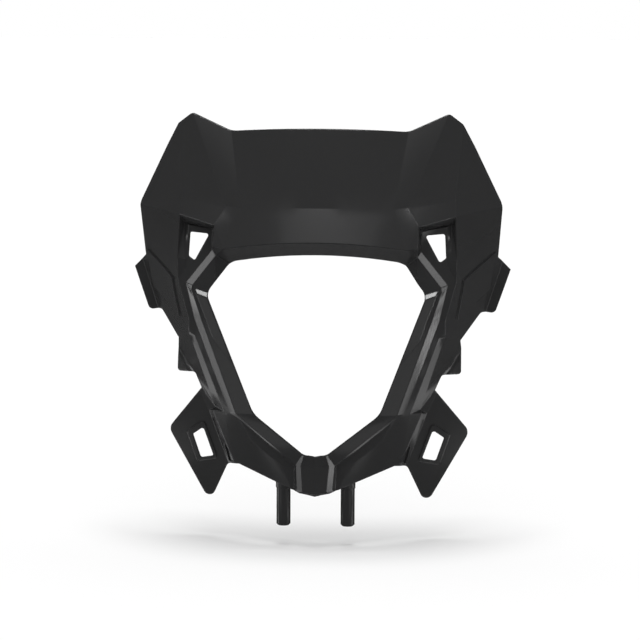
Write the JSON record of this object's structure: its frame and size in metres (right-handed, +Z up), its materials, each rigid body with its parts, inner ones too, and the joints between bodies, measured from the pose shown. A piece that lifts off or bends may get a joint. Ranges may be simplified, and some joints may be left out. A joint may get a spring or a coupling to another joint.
{
  "type": "headlight cowl",
  "caption": "Black moulded plastic headlight cowl for an off-road motorcycle, with a visor over a shield-shaped lamp opening, side strap windows, slotted lower wings and pegs at the chin.",
  "frame": {"origin": "midway between the free ends of the two pegs, on the plane through those ends", "axes": "+Z up along the pegs, +Y to the back, towards the motorcycle, +X to the cowl's right as it is seen from the front"},
  "size_m": [0.2968, 0.0967, 0.3137],
  "materials": {
    "cowl_plastic": "black, smooth and glossy, unpainted"
  },
  "bodies": {
    "root": {"headlight_cowl": "cowl_plastic"}
  },
  "joints": []
}
